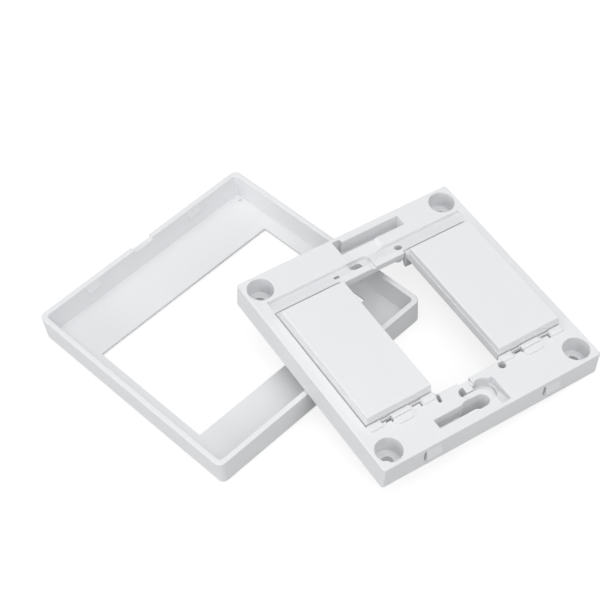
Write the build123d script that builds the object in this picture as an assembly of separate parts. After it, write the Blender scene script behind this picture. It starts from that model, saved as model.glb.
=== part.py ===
from build123d import *
import os
from math import asin, atan2, cos, degrees, radians, sin, tan

# A three-bay modular wall plate, opened up: the cover frame lies face down on the floor and the
# mounting plate, with a blank insert in each outer bay, leans on two of its rim edges and on one
# corner of its own. All sizes are in millimetres.

# Screws of the wall box: their pitch sets the plate, and with it the bays and the inserts
screw_pitch = 62.5
screw_from_side = 8.75
slots_off_centre = 3.45

# Bays and blank inserts
bays_from_side = 4.0
insert_gap = 0.8
insert_from_screw = 8.05
insert_rise = 3.7
insert_step_height = 1.4
insert_step = 0.2
insert_sunk = 1.8
insert_wall = 1.5
insert_edge_round = 0.3
insert_tail = 2.2
insert_clearance = 0.3
bays_off_centre = 1.3

# Legs and hooks that hold an insert in its bay
leg_width = 3.4
leg_thickness = 1.5
leg_depth = 6.3
hook_reach = 0.9
hook_height = 2.2
near_leg_width = 6.0

# Mounting plate
plate_height = 8.8
plate_skin = 1.5
plate_wall = 2.0
plate_corner_round = 0.8
plate_edge_round = 0.3
rib_thickness = 1.2
rib_depth = 6.0
rib_gap = 3.0
pad_margin = 1.6

# Open middle bay: it stops short of the outer bays' far edge and runs past their near edge
open_bay_short = 1.0
open_bay_past = 1.3
open_bay_lap = 0.5
open_bay_web = 2.4
open_bay_corner_round = 2.4

# Blind holes beside the open bay, two round ones on the right and two slim slots on the left
pilot_x = 11.7
pilot_beyond_far = 3.1
pilot_beyond_near = 1.5
pilot_diameter = 2.5
pilot_depth = 4.4
pilot_wall = 0.8
slim_width = 1.2
slim_far_length = 2.1
slim_near_length = 3.0
slim_near_lean = 13.0

# Corner screw recesses
corner_from_side = 5.4
corner_recess_diameter = 8.5
corner_recess_depth = 6.4
corner_hole_diameter = 3.9
corner_boss_wall = 1.4

# Near slot for a screw of the wall box, with its collar, the screw head's recess and a side trench
slot_middle_x = -3.4
slot_length = 9.2
slot_width = 4.6
slot_tube_depth = 8.0
slot_pad_depth = 5.4
collar_wall = 1.75
collar_right_wall = 2.1
collar_drop = 0.3
head_recess_depth = 4.0
head_recess_reach = 6.7
head_recess_left = -5.8
head_recess_right = 6.6
main_lobe_x = 2.2
main_lobe_diameter = 7.7
small_lobe_diameter = 3.8
lobe_divider_left = -3.4
lobe_divider_width = 2.4
lobe_divider_length = 2.4
side_floor_depth = 2.8
side_floor_width = 3.3
side_floor_reach = 5.3
side_floor_bend = 1.7
side_floor_near = -4.0
side_floor_rise = 1.6
near_trench_left = -17.6
near_trench_width = 3.3
near_notch_left = -3.9
near_notch_width = 4.2
near_notch_reach = 0.8
channel_width = 1.4
channel_depth = 0.6

# Far slot, a stadium-shaped step with a smaller hole in it
far_slot_x = -2.2
far_slot_length = 8.0
far_slot_width = 4.0
far_slot_depth = 2.4
far_hole_length = 4.6
far_hole_width = 2.8

# Far trench, the sloping shelf before it and the ramped groove along the far side
trench_left = -5.3
trench_right = 18.9
trench_width = 4.1
trench_from_side = 2.6
trench_depth = 5.6
trench_floor = 1.3
trench_nick_width = 2.9
trench_nick_reach = 1.4
shelf_right = 6.1
shelf_corner = 1.6
shelf_far_depth = 0.3
shelf_end_slope = 58.0
groove_past_bay = 1.2
groove_width = 3.6
groove_left_end = 4.3
groove_right_end = 2.8
groove_depth = 1.2

# Latch at the near end of each outer bay: a tongue, its cross line, two gaps and two side bars
latch_pad_half = 3.5
latch_pad_shift = -0.5
latch_pad_length = 4.3
latch_pad_round = 1.6
latch_rise = 0.45
latch_seat = 0.5
latch_line_width = 0.3
latch_gap_start = 0.45
latch_gap_width = 1.25
latch_gap_left = (-7.0, -3.4)
latch_gap_right = (3.9, 7.0)
latch_tail_width = 0.8
latch_tail_length = 0.7
latch_bar_length = 2.4
latch_bar_inner = 7.3
latch_bar_outer = 11.7

# Catches between the cover's rim and the plate's sides
catch_left_x = -24.7
catch_right_x = 19.2
catch_length = 5.4
catch_bite = 0.3
catch_lip = 0.8
catch_top = 2.0
catch_bottom = 6.0
catch_slit_width = 0.8
catch_slit_top = 2.0
catch_slit_height = 4.4
bead_reach = 0.7
bead_drop = 0.6
bead_height = 3.4

# Cover frame
cover_clearance = 1.2
cover_wall = 1.8
cover_wall_root = 2.0
cover_height = 10.2
cover_face = 1.8
cover_draft = 0.4
cover_corner_round = 2.0
cover_edge_round = 1.5
cavity_corner_round = 0.8
rim_round = 0.25
window_clearance = 0.25
window_corner_round = 0.6
window_edge_bevel = 0.9
pry_notch_length = 8.0
pry_notch_depth = 1.3
dimple_diameter = 1.0
dimple_depth = 0.5
dimple_inset = 1.4

# How the mounting plate lies on the cover frame
rest_front_x = -6.85
rest_side_y = -11.33
rest_turn = 43.61
rest_gap = 0.3

# How far a cut runs past the face that it opens
past = 1.0

plate_side = screw_pitch + 2 * screw_from_side
half_plate = plate_side / 2
corner_pitch = plate_side - 2 * corner_from_side
bay_pitch = (plate_side - 2 * bays_from_side) / 3
insert_width = bay_pitch - insert_gap
insert_length = screw_pitch - 2 * insert_from_screw
cover_side = plate_side + 2 * (cover_clearance + cover_wall)
half_cover = cover_side / 2
insert_near = -bays_off_centre - insert_length / 2
insert_far = -bays_off_centre + insert_length / 2
bay_half = insert_width / 2 + insert_clearance
bay_near = insert_near - insert_clearance
bay_far = insert_far + insert_tail + insert_clearance
open_bay_near = bay_near - open_bay_past
open_bay_far = bay_far - open_bay_short
near_slot_y = -slots_off_centre - screw_pitch / 2
far_slot_y = near_slot_y + screw_pitch
head_recess_far = near_slot_y + head_recess_reach
trench_far = half_plate - trench_from_side
trench_near = trench_far - trench_width
groove_near = bay_far + groove_past_bay
groove_far = groove_near + groove_width
shelf_end = shelf_right + groove_depth * tan(radians(shelf_end_slope))
catch_reach = cover_clearance - bead_reach + catch_bite
hook_top = -plate_skin - insert_clearance


def block(x0, x1, y0, y1, z0, z1):
    """A box given by its faces."""
    return Pos((x0 + x1) / 2, (y0 + y1) / 2, (z0 + z1) / 2) * Box(x1 - x0, y1 - y0, z1 - z0)


def prism_along_x(points, x0, x1):
    """A (y, z) profile drawn out from x0 to x1."""
    face = make_face(Polyline(*[(x0, y, z) for y, z in points], close=True))
    return extrude(face, x1 - x0, dir=(1, 0, 0))


def stadium(x, y, length, width, z0, z1, turn=0):
    """An upright slot-shaped solid, long along X unless it is turned."""
    return Pos(x, y, z0) * Rot(0, 0, turn) * extrude(SlotOverall(length, width), z1 - z0)


def post(x, y, diameter, z0, z1):
    """An upright round solid."""
    return Pos(x, y, (z0 + z1) / 2) * Cylinder(diameter / 2, z1 - z0)


def corners(pitch):
    half = pitch / 2
    return [(-half, -half), (half, -half), (half, half), (-half, half)]


def catch_places(side):
    """Where the two catches of a side start, for the near side (-1) or the far side (1)."""
    if side < 0:
        return [catch_left_x, catch_right_x]
    return [-catch_left_x - catch_length, -catch_right_x - catch_length]


# Cover frame: a square tray with a drafted wall, rounded over at the face

def cover_shell():
    draft_angle = degrees(atan2(cover_draft, cover_height))
    face_side = cover_side - 2 * cover_draft
    face_outline = RectangleRounded(face_side, face_side, cover_corner_round)
    body = extrude(face_outline, cover_height, taper=-draft_angle)
    body = fillet(body.faces().sort_by(Axis.Z)[0].edges(), cover_edge_round)
    floor_side = face_side + 2 * cover_draft * cover_face / cover_height - 2 * cover_wall_root
    rim_side = cover_side - 2 * cover_wall
    floor_outline = Pos(0, 0, cover_face) * RectangleRounded(floor_side, floor_side, cavity_corner_round)
    cavity_angle = degrees(atan2((rim_side - floor_side) / 2, cover_height - cover_face))
    shell = body - extrude(floor_outline, cover_height, taper=-cavity_angle)
    return fillet(shell.faces().sort_by(Axis.Z)[-1].edges(), rim_round)


def cover_window():
    length = 2 * bay_pitch + insert_width + 2 * window_clearance
    width = insert_length + 2 * window_clearance
    outline = Pos(0, -bays_off_centre) * RectangleRounded(length, width, window_corner_round)
    opening = Pos(0, 0, -past) * extrude(outline, cover_face + 2 * past)
    bevel = extrude(offset(outline, window_edge_bevel), window_edge_bevel, taper=45)
    return opening + bevel


def cover_bead(x, side):
    """A catch bead inside the rim, its lower edge hooked and its upper edge run off."""
    inner = half_cover - cover_wall
    top = cover_height - bead_drop
    bottom = top - bead_height
    root = inner + cover_wall / 2
    profile = [(root, top), (inner, top), (inner - bead_reach, bottom + bead_reach),
               (inner - bead_reach, bottom), (root, bottom)]
    return prism_along_x([(side * y, z) for y, z in profile], x, x + catch_length)


def cover_frame():
    frame = cover_shell() - cover_window()
    for x in catch_places(-1):
        frame += cover_bead(x, 1)
    for x in catch_places(1):
        frame += cover_bead(x, -1)
    notch = block(-pry_notch_length / 2, pry_notch_length / 2, half_cover - 2 * cover_wall,
                  half_cover + past, cover_height - pry_notch_depth, cover_height + past)
    dimple_place = half_cover - cover_draft - cover_wall_root - dimple_inset
    dimple = post(dimple_place, dimple_place - dimple_inset, dimple_diameter,
                  cover_face - dimple_depth, cover_face + past)
    return frame - notch - dimple


# Mounting plate, drawn about its middle with its top face at height 0 and its far side at +Y

def plate_blank():
    outline = RectangleRounded(plate_side, plate_side, plate_corner_round)
    body = extrude(outline, -plate_height)
    body = fillet(body.faces().sort_by(Axis.Z)[-1].edges(), plate_edge_round)
    inner = plate_side - 2 * plate_wall
    return body - Pos(0, 0, -plate_height) * extrude(Rectangle(inner, inner), plate_height - plate_skin)


def backing(x0, x1, y0, y1, depth):
    """Plastic added under the skin, down to a depth."""
    return block(x0, x1, y0, y1, -depth, -plate_skin / 2)


def corner_bosses():
    """A sleeve round each corner recess, cut off at the plate's sides."""
    bosses = Part()
    sleeve = corner_recess_diameter + 2 * corner_boss_wall
    for x, y in corners(corner_pitch):
        bosses += post(x, y, sleeve, -plate_height, -plate_skin / 2)
    limit = half_plate - plate_wall / 2
    return bosses & block(-limit, limit, -limit, limit, -plate_height, 0)


def corner_cuts():
    cuts = Part()
    for x, y in corners(corner_pitch):
        cuts += post(x, y, corner_recess_diameter, -corner_recess_depth, past)
        cuts += post(x, y, corner_hole_diameter, -plate_height - past, past)
    return cuts


def bay_openings():
    """The long opening that the three bays share."""
    low = -plate_height - past
    outer = Part()
    for bay_x in (-bay_pitch, bay_pitch):
        outer += block(bay_x - bay_half, bay_x + bay_half, bay_near, bay_far, low, past)
    half_gap = bay_pitch - bay_half + open_bay_lap
    middle = block(-half_gap, half_gap, open_bay_near, open_bay_far, low, past)
    upright = middle.edges().filter_by(Axis.Z).group_by(Axis.Y)[0]
    return outer + fillet(upright, open_bay_corner_round)


def hook_rooms():
    """Room below the skin for the hooks of the far legs."""
    rooms = Part()
    for bay_x in (-bay_pitch, bay_pitch):
        for left in far_leg_places(bay_x):
            rooms += block(left - insert_clearance, left + leg_width + insert_clearance, insert_far,
                           bay_far + hook_reach, -plate_height, -plate_skin)
    return rooms


def pilot_holes(wall, depth, top):
    """The four blind holes, grown by a wall: the bosses with one, and the holes themselves with none."""
    far = open_bay_far + pilot_beyond_far
    near = open_bay_near - pilot_beyond_near
    around = 2 * wall
    holes = post(pilot_x, far, pilot_diameter + around, -depth, top)
    holes += post(pilot_x, near, pilot_diameter + around, -depth, top)
    holes += stadium(-pilot_x, far, slim_far_length + around, slim_width + around, -depth, top)
    holes += stadium(-pilot_x, near, slim_near_length + around, slim_width + around, -depth, top,
                     turn=90 - slim_near_lean)
    return holes


def stiffening_ribs():
    """Ribs under the skin, from the near and far walls to the bays."""
    wall = half_plate - plate_wall / 2
    ribs = Part()
    for x in (-bay_pitch, bay_pitch):
        left = x - rib_thickness / 2
        right = x + rib_thickness / 2
        ribs += backing(left, right, -wall, bay_near - rib_gap, rib_depth)
        ribs += backing(left, right, bay_far + rib_gap, wall, rib_depth)
    return ribs


def near_collar(wall_depth, top):
    """The standing collar round the near slot, thicker on its right."""
    length = slot_length + collar_wall + collar_right_wall
    middle = slot_middle_x + (collar_right_wall - collar_wall) / 2
    return stadium(middle, near_slot_y, length, slot_width + 2 * collar_wall, -wall_depth, top)


def near_backing():
    """The pad under the head recess, the trough of the side trench and the tube of the slot."""
    pads = backing(head_recess_left - pad_margin, head_recess_right + pad_margin,
                   -half_plate + plate_wall / 2, head_recess_far + pad_margin / 2, slot_pad_depth)
    half_trough = near_trench_width / 2 + pad_margin
    pads += backing(near_trench_left - pad_margin, slot_middle_x, near_slot_y - half_trough,
                    near_slot_y + half_trough, trench_depth + trench_floor)
    return pads + near_collar(slot_tube_depth, -plate_skin / 2)


def far_backing():
    """The pad under the far slot, the far trench's trough and the webs at the open bay and the groove."""
    web_depth = groove_depth + plate_skin
    half_gap = bay_pitch - bay_half
    pads = backing(far_slot_x - far_slot_length / 2 - pad_margin,
                   far_slot_x + far_slot_length / 2 + pad_margin,
                   open_bay_far + pad_margin, trench_near, slot_pad_depth)
    pads += backing(-half_gap, half_gap, open_bay_far, open_bay_far + rib_thickness, open_bay_web)
    pads += backing(trench_left - pad_margin, trench_right + pad_margin, trench_near - pad_margin,
                    half_plate - plate_wall / 2, trench_depth + trench_floor)
    pads += backing(-half_plate + groove_left_end - pad_margin, half_plate - plate_wall / 2,
                    groove_near, groove_far + plate_skin, web_depth)
    return pads + backing(trench_left - pad_margin, shelf_end + pad_margin, groove_near, trench_near,
                          web_depth)


def head_recess():
    """The screw head's recess: two lobes with a floor between them, and a side floor that rises."""
    low = -head_recess_depth
    recess = post(main_lobe_x, head_recess_far - main_lobe_diameter / 2, main_lobe_diameter, low, past)
    small_x = head_recess_left + small_lobe_diameter / 2
    small_y = head_recess_far - small_lobe_diameter / 2
    recess += post(small_x, small_y, small_lobe_diameter, low, past)
    recess += block(small_x, main_lobe_x, near_slot_y, small_y, low, past)
    recess -= block(lobe_divider_left, lobe_divider_left + lobe_divider_width,
                    head_recess_far - lobe_divider_length, head_recess_far + past, low, past)
    side = -side_floor_depth
    far = near_slot_y + side_floor_reach
    near = near_slot_y + side_floor_near
    side_floor = [(far, past), (far, side), (near_slot_y + side_floor_bend, side),
                  (near, side + side_floor_rise), (near, past)]
    return recess + prism_along_x(side_floor, head_recess_right - side_floor_width, head_recess_right)


def near_slot_cuts():
    """The head recess round the collar, the slot, the side trench and the way to the open bay."""
    low = -plate_height - past
    cuts = head_recess() - near_collar(plate_height, -collar_drop)
    cuts += stadium(slot_middle_x, near_slot_y, slot_length, slot_width, low, past)
    cuts += block(near_trench_left, slot_middle_x, near_slot_y - near_trench_width / 2,
                  near_slot_y + near_trench_width / 2, -trench_depth, past)
    notch_right = near_notch_left + near_notch_width
    cuts += block(near_notch_left, notch_right, open_bay_near - near_notch_reach, open_bay_near + past,
                  low, past)
    return cuts + block(notch_right - channel_width, notch_right, head_recess_far - past, open_bay_near,
                        -channel_depth, past)


def far_slot_cuts():
    """The far slot's step and hole, and the shallow channel from it to the open bay."""
    cuts = stadium(far_slot_x, far_slot_y, far_slot_length, far_slot_width, -far_slot_depth, past)
    cuts += stadium(slot_middle_x, far_slot_y, far_hole_length, far_hole_width, -plate_height, past)
    channel_right = far_slot_x + far_slot_length / 2 - channel_depth
    return cuts + block(channel_right - channel_width, channel_right, open_bay_far - past, far_slot_y,
                        -channel_depth, past)


def far_trench_cuts():
    """The deep trench with a nick at its left end, and the shelf that slopes from it to the groove.

    The shelf's right end runs up to the top face in a ramp.
    """
    cuts = block(trench_left, trench_right, trench_near, trench_far, -trench_depth, past)
    cuts += block(trench_left, trench_left + trench_nick_width, trench_far - past,
                  trench_far + trench_nick_reach, -trench_depth, past)
    lap = shelf_far_depth
    slope = [(trench_near + lap, past), (trench_near + lap, -shelf_far_depth),
             (groove_far - lap, -groove_depth), (groove_far - lap, past)]
    outline = Polyline((trench_left, trench_near + past), (trench_left, groove_far - past),
                       (shelf_right - shelf_corner, groove_far - past),
                       (shelf_right, groove_far + shelf_corner), (shelf_right, trench_near + past),
                       close=True)
    limit = Pos(0, 0, -groove_depth) * extrude(make_face(outline), groove_depth + past,
                                               taper=-shelf_end_slope)
    return cuts + (prism_along_x(slope, trench_left, shelf_end + past) & limit)


def ramped_groove():
    """A step along the far side whose floor rises to the top face towards the bays."""
    profile = [(groove_far, past), (groove_far, -groove_depth), (groove_near, 0.0), (groove_near, past)]
    return prism_along_x(profile, -half_plate + groove_left_end, half_plate - groove_right_end)


def latch_bars(bay_x):
    """The raised tongue, with its cross line, and the side bars at the near end of an outer bay."""
    middle = bay_x + latch_pad_shift
    left = middle - latch_pad_half
    right = middle + latch_pad_half
    near = bay_near - latch_pad_length
    outline = Pos(middle, (near + bay_near) / 2) * Rectangle(2 * latch_pad_half, latch_pad_length)
    near_corners = outline.vertices().sort_by(Axis.Y)[:2]
    pad = extrude(fillet(near_corners, latch_pad_round), latch_rise)
    line_far = bay_near - latch_gap_start - latch_gap_width
    pad -= block(left, right, line_far - latch_line_width, line_far, 0.0, latch_rise)
    pad += block(left, right, near + latch_pad_round, bay_near, -latch_seat, latch_rise / 3)
    for inner, outer in ((-latch_bar_outer, -latch_bar_inner), (latch_bar_inner, latch_bar_outer)):
        pad += block(bay_x + inner, bay_x + outer, bay_near - latch_bar_length, bay_near, -latch_seat,
                     latch_rise)
    return pad


def latch_gaps(bay_x):
    """The gaps beside the tongue, each with a short tail at its right end."""
    far = bay_near - latch_gap_start
    near = far - latch_gap_width
    low = -plate_skin - past
    gaps = Part()
    for left, right in (latch_gap_left, latch_gap_right):
        gaps += block(bay_x + left, bay_x + right, near, far, low, past)
        gaps += block(bay_x + right - latch_tail_width, bay_x + right, near - latch_tail_length, far,
                      low, past)
    return gaps


def side_catch(x, side):
    """A wedge on a side wall that the cover's bead snaps over."""
    root = half_plate - plate_wall / 2
    tip = half_plate + catch_reach
    profile = [(root, -catch_top), (half_plate, -catch_top), (tip, -catch_bottom + catch_lip),
               (tip, -catch_bottom), (root, -catch_bottom)]
    return prism_along_x([(side * y, z) for y, z in profile], x, x + catch_length)


def catch_slit(x, side):
    """A slit through the wall beside a catch, so that the wall gives there."""
    inner, outer = sorted((side * (half_plate - plate_wall), side * (half_plate + past)))
    return block(x - catch_slit_width, x, inner, outer, -catch_slit_top - catch_slit_height,
                 -catch_slit_top)


def mounting_plate():
    plate = plate_blank() + corner_bosses() + stiffening_ribs() + near_backing() + far_backing()
    plate += pilot_holes(pilot_wall, pilot_depth + pilot_wall, -plate_skin / 2)
    for bay_x in (-bay_pitch, bay_pitch):
        plate += latch_bars(bay_x)
    plate -= corner_cuts()
    plate -= bay_openings()
    plate -= hook_rooms()
    plate -= pilot_holes(0.0, pilot_depth, past)
    plate -= near_slot_cuts()
    plate -= far_trench_cuts()
    plate -= ramped_groove()
    plate -= far_slot_cuts()
    for bay_x in (-bay_pitch, bay_pitch):
        plate -= latch_gaps(bay_x)
    for side in (-1, 1):
        for x in catch_places(side):
            plate += side_catch(x, side)
            plate -= catch_slit(x, side)
    return plate


# Blank insert, drawn in the mounting plate's own place

def far_leg_places(bay_x):
    """Where the two far legs of an insert start."""
    half = insert_width / 2
    return [bay_x - half, bay_x + half - leg_width]


def leg_profile(outer, way):
    """A leg with its hook: its outer face, and the way (1 far, -1 near) in which it hooks."""
    inner = outer - way * leg_thickness
    tip = outer + way * hook_reach
    return [(outer, -insert_wall / 2), (inner, -insert_wall / 2), (inner, -leg_depth),
            ((inner + outer) / 2, -leg_depth), (tip, hook_top - hook_height), (tip, hook_top),
            (outer, hook_top)]


def insert_legs(bay_x):
    """Two legs at the far end and one at the near end, each with a hook below the plate's skin."""
    legs = Part()
    for left in far_leg_places(bay_x):
        legs += prism_along_x(leg_profile(insert_far + insert_tail, 1), left, left + leg_width)
    half = near_leg_width / 2
    return legs + prism_along_x(leg_profile(insert_near, -1), bay_x - half, bay_x + half)


def blank_insert(bay_x):
    """A shallow cap with a raised key, open below."""
    half = insert_width / 2
    near = insert_near
    far = insert_far
    body = block(bay_x - half, bay_x + half, near, far, -insert_sunk, insert_step_height)
    key = block(bay_x - half + insert_step, bay_x + half - insert_step, near + insert_step,
                far - insert_step, 0, insert_rise)
    key = fillet(key.faces().sort_by(Axis.Z)[-1].edges(), insert_edge_round)
    tail = block(bay_x - half, bay_x + half, far - insert_wall, far + insert_tail, -insert_sunk, 0)
    inside = insert_wall + insert_step
    hollow = block(bay_x - half + inside, bay_x + half - inside, near + inside, far - inside,
                   -insert_sunk, insert_rise - insert_wall)
    return body + key + tail - hollow + insert_legs(bay_x)


# Place of the leaning mounting plate

def plate_location():
    """The plate leans just clear of two rim edges of the cover, its near right corner down by the floor."""
    height = cover_height + rest_gap
    front = Vector(rest_front_x, -half_cover, height)
    side = Vector(half_cover, rest_side_y, height)
    along = (side - front).normalized()
    span = (side - front).length
    turn = radians(rest_turn)
    drop_run = plate_side * (sin(turn) + cos(turn)) - span * sin(turn) * cos(turn)
    lean = asin(height / drop_run)
    level = Vector(along.Y, -along.X, 0)
    down_slope = level * cos(lean) + Vector(0, 0, -sin(lean))
    plate_x = along * cos(turn) + down_slope * sin(turn)
    plate_near = down_slope * cos(turn) - along * sin(turn)
    far_left = side - plate_x * (span * cos(turn))
    up = plate_x.cross(plate_near * -1)
    middle = far_left + (plate_x + plate_near) * half_plate + up * plate_height
    return Plane(origin=middle, x_dir=plate_x, z_dir=up).location


place = plate_location()
pieces = {
    "cover_frame": cover_frame(),
    "mounting_plate": place * mounting_plate(),
    "left_blank_insert": place * blank_insert(-bay_pitch),
    "right_blank_insert": place * blank_insert(bay_pitch),
}

# The shared origin is under the middle of the whole, on the floor
boxes = [piece.bounding_box() for piece in pieces.values()]
middle_x = (min(box.min.X for box in boxes) + max(box.max.X for box in boxes)) / 2
middle_y = (min(box.min.Y for box in boxes) + max(box.max.Y for box in boxes)) / 2
to_origin = Pos(-middle_x, -middle_y, 0)

os.makedirs("parts", exist_ok=True)
for name, piece in pieces.items():
    export_step(to_origin * piece, f"parts/{name}.step")

print("origin in the cover frame's place:", round(middle_x, 4), round(middle_y, 4))
print("mounting plate:", place)
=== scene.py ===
import math

import bpy
from mathutils import Matrix, Vector

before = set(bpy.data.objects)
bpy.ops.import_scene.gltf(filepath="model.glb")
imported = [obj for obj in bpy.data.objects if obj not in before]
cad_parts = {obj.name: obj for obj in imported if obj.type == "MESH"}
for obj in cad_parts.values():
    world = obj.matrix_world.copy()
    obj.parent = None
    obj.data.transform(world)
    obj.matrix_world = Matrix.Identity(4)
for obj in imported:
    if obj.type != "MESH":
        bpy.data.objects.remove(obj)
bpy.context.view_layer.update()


# Camera
# A long lens held above the near left corner of the opened plate, a little rolled, as a product
# photographer would stand over a table. Its place is in metres from the middle of the floor below.
camera_place = Vector((-0.211413, -0.254065, 0.410343))
camera_heading = math.radians(38.299)
camera_down = math.radians(49.694)
camera_roll = math.radians(-7.746)
camera_lens = 99.919

camera_data = bpy.data.cameras.new("photo_camera")
camera_data.lens = camera_lens
camera_data.sensor_width = 36.0
camera_data.clip_start = 0.01
camera_data.clip_end = 20.0
camera = bpy.data.objects.new("photo_camera", camera_data)
bpy.context.scene.collection.objects.link(camera)
turn = Matrix.Rotation(-camera_heading, 4, "Z") @ Matrix.Rotation(math.pi / 2 - camera_down, 4, "X")
camera.matrix_world = Matrix.Translation(camera_place) @ turn @ Matrix.Rotation(camera_roll, 4, "Z")
bpy.context.scene.camera = camera


# Cover frame
# The moulded front frame, lying on its face. It is white ABS from a polished tool: satin outside,
# slightly duller inside, though one satin finish serves both here, with the faint waves that a thin
# wall takes as it cools.
class Wire:
    """A shader socket that adds, subtracts and multiplies like a number."""

    def __init__(self, tree, socket=None):
        self.tree = tree
        self.socket = socket

    def node(self, kind, settings=None, inputs=None, output=0):
        """Adds a node: its settings first, then the values or links of its sockets."""
        made = self.tree.nodes.new(kind)
        for name, value in (settings or {}).items():
            setattr(made, name, value)
        for name, value in (inputs or {}).items():
            if isinstance(value, Wire):
                self.tree.links.new(value.socket, made.inputs[name])
            else:
                made.inputs[name].default_value = value
        return Wire(self.tree, made.outputs[output])

    def sum(self, operation, first, second):
        return self.node("ShaderNodeMath", {"operation": operation}, {0: first, 1: second})

    def __add__(self, other):
        return self.sum("ADD", self, other)

    def __radd__(self, other):
        return self.sum("ADD", other, self)

    def __sub__(self, other):
        return self.sum("SUBTRACT", self, other)

    def __rsub__(self, other):
        return self.sum("SUBTRACT", other, self)

    def __mul__(self, other):
        return self.sum("MULTIPLY", self, other)

    def __rmul__(self, other):
        return self.sum("MULTIPLY", other, self)


def start_material(name):
    """An empty node material, with a wire to draw from and its output node."""
    material = bpy.data.materials.new(name)
    material.use_nodes = True
    tree = material.node_tree
    tree.nodes.clear()
    wire = Wire(tree)
    return material, wire, tree.nodes.new("ShaderNodeOutputMaterial")


def moulded_plastic(name, colour, roughness, grain_depth, wave_depth, edge_round):
    """White moulded plastic: a slight mottle, a spark-eroded grain and soft cooling waves."""
    mottle_shade = 0.965
    scuff_effect = 0.08
    speck_effect = 0.05
    material, wire, output = start_material(name)
    place = wire.node("ShaderNodeTexCoord", output=3)
    mottle = wire.node("ShaderNodeTexNoise", None, {"Vector": place, "Scale": 55.0, "Detail": 3.0})
    specks = wire.node("ShaderNodeTexNoise", None, {"Vector": place, "Scale": 2600.0, "Detail": 2.0})
    waves = wire.node("ShaderNodeTexNoise", None, {"Vector": place, "Scale": 34.0, "Detail": 1.0})
    scuffs = wire.node("ShaderNodeTexNoise", None, {"Vector": place, "Scale": 240.0, "Detail": 4.0})
    darker = [mottle_shade * part for part in colour] + [1.0]
    tint = wire.node("ShaderNodeMix", {"data_type": "RGBA"},
                     {0: mottle, 6: darker, 7: list(colour) + [1.0]}, output=2)
    sheen = roughness + scuff_effect * (scuffs - 0.5) + speck_effect * (specks - 0.5)
    rounded = wire.node("ShaderNodeBevel", {"samples": 6}, {"Radius": edge_round})
    waved = wire.node("ShaderNodeBump", None, {"Strength": 1.0, "Distance": wave_depth,
                                               "Height": waves, "Normal": rounded})
    grained = wire.node("ShaderNodeBump", None, {"Strength": 1.0, "Distance": grain_depth,
                                                 "Height": specks, "Normal": waved})
    shader = wire.node("ShaderNodeBsdfPrincipled", None,
                       {"Base Color": tint, "Roughness": sheen, "Normal": grained, "IOR": 1.5,
                        "Subsurface Weight": 0.12, "Subsurface Radius": (0.0030, 0.0028, 0.0026),
                        "Subsurface Scale": 0.3, "Specular IOR Level": 0.35})
    material.node_tree.links.new(shader.socket, output.inputs["Surface"])
    return material


def dress(node, material):
    """Gives a moulding its finish."""
    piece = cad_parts[node]
    piece.data.materials.clear()
    piece.data.materials.append(material)


cover_white = (0.815, 0.822, 0.832)
cover_plastic = moulded_plastic("cover_plastic", cover_white, roughness=0.44, grain_depth=0.000004,
                                wave_depth=0.00004, edge_round=0.00016)
dress("cover_frame", cover_plastic)


# Mounting plate
# The base that screws to the wall box, moulded in the same white but from a plainer tool, so it is
# a touch rougher. It leans on the cover's rim and is a separate shot, so its white is a touch lighter:
# painted light, as the plastic is the same.
plate_white_painted_lighter = (0.820, 0.824, 0.834)
plate_plastic = moulded_plastic("plate_plastic", plate_white_painted_lighter, roughness=0.50, grain_depth=0.000005,
                                wave_depth=0.00005, edge_round=0.00014)
dress("mounting_plate", plate_plastic)


# Blank inserts
# Two caps from one mould, clipped into the outer bays. Their tops are the faces that show on the
# wall, so the tool is finer and the plastic smoother than on the plate around them.
insert_white = (0.825, 0.828, 0.838)
insert_plastic = moulded_plastic("insert_plastic", insert_white, roughness=0.42, grain_depth=0.000003,
                                 wave_depth=0.00003, edge_round=0.00014)
for insert in ("left_blank_insert", "right_blank_insert"):
    dress(insert, insert_plastic)


# Table
# A wide sheet of matt paper under the mouldings. It lights them as a grey card would, while the
# camera sees it lifted to white, with their soft shadows. Where they close it in, an occlusion mask
# takes the lift away: painted shade under and inside them.
def grey(tone):
    return (tone, tone, tone, 1.0)


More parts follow.
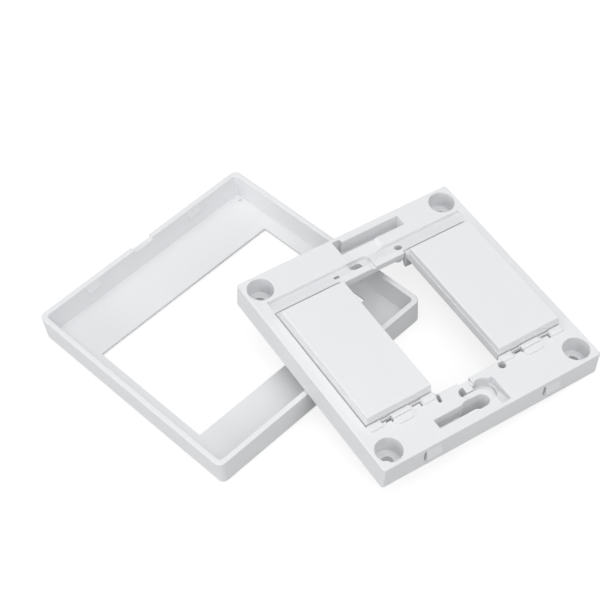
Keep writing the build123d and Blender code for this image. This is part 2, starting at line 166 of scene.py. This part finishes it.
def paper_sheet():
    """Matt paper: a grey card to the mouldings, and to the camera white with a soft shadow and painted
    shade where they close it in.
    """
    card_tone = 0.44
    shade_tone = 0.26
    glow_strength = 0.80
    painted_shade_reach = 0.02
    painted_shade_full_below = 0.01
    painted_shade_none_above = 0.10
    material, wire, output = start_material("table_paper")
    card = wire.node("ShaderNodeBsdfDiffuse", None, {"Color": grey(card_tone)})
    shade = wire.node("ShaderNodeBsdfDiffuse", None, {"Color": grey(shade_tone)})
    glow = wire.node("ShaderNodeEmission", None, {"Color": grey(1.0), "Strength": glow_strength})
    lifted = wire.node("ShaderNodeAddShader", None, {0: shade, 1: glow})
    # Painted shade: an occlusion test takes the camera's white lift off the paper that the mouldings
    # close in, darkening it under and inside them.
    occlusion_for_painted_shade = wire.node("ShaderNodeAmbientOcclusion", {"samples": 12}, {"Distance": painted_shade_reach},
                          output="AO")
    glow_left_by_painted_shade = wire.node("ShaderNodeMapRange", None,
                         {"Value": occlusion_for_painted_shade, "From Min": painted_shade_full_below, "From Max": painted_shade_none_above})
    paper = wire.node("ShaderNodeMixShader", None, {0: glow_left_by_painted_shade, 1: shade, 2: lifted})
    seen = wire.node("ShaderNodeMixShader", None, {0: seen_rays(wire), 1: card, 2: paper})
    material.node_tree.links.new(seen.socket, output.inputs["Surface"])
    return material


def seen_rays(wire):
    """One for rays that reach the camera straight, by a reflection or through glass."""
    path = "ShaderNodeLightPath"
    return (wire.node(path, output="Is Camera Ray") + wire.node(path, output="Is Glossy Ray")
            + wire.node(path, output="Is Transmission Ray"))


table_half = 3.0
table_drop = 0.00002
table_mesh = bpy.data.meshes.new("table")
table_mesh.from_pydata([(-table_half, -table_half, 0), (table_half, -table_half, 0),
                        (table_half, table_half, 0), (-table_half, table_half, 0)], [], [(0, 1, 2, 3)])
table_mesh.materials.append(paper_sheet())
table = bpy.data.objects.new("table", table_mesh)
table.location.z = -table_drop
bpy.context.scene.collection.objects.link(table)


# Light
# Three large soft lamps, overhead, low on the left and in front, and an even pale room. The world
# shows white to the camera and gives the room's dimmer, slightly cool light to everything else.
def soft_lamp(name, place, size, power):
    lamp = bpy.data.lights.new(name, "AREA")
    lamp.shape = "SQUARE"
    lamp.size = size
    lamp.energy = power
    holder = bpy.data.objects.new(name, lamp)
    holder.location = place
    holder.rotation_euler = (-Vector(place)).to_track_quat("-Z", "Y").to_euler()
    bpy.context.scene.collection.objects.link(holder)


soft_lamp("overhead_lamp", (-0.10, 0.05, 1.20), 1.2, 5.6)
soft_lamp("left_lamp", (-1.20, 0.10, 0.35), 0.6, 4.0)
soft_lamp("front_lamp", (-0.20, -1.00, 0.90), 0.9, 5.0)

world = bpy.data.worlds.new("room")
bpy.context.scene.world = world
world.use_nodes = True
world.node_tree.nodes.clear()
room = Wire(world.node_tree)
room_tint = (0.975, 0.985, 1.0, 1.0)
room_light = room.node("ShaderNodeBackground", None, {"Color": room_tint, "Strength": 0.50})
room_seen = room.node("ShaderNodeBackground", None, {"Color": grey(1.0), "Strength": 1.0})
room_mix = room.node("ShaderNodeMixShader", None, {0: seen_rays(room), 1: room_light, 2: room_seen})
world_output = world.node_tree.nodes.new("ShaderNodeOutputWorld")
world.node_tree.links.new(room_mix.socket, world_output.inputs["Surface"])

bpy.context.scene.view_settings.view_transform = "Standard"
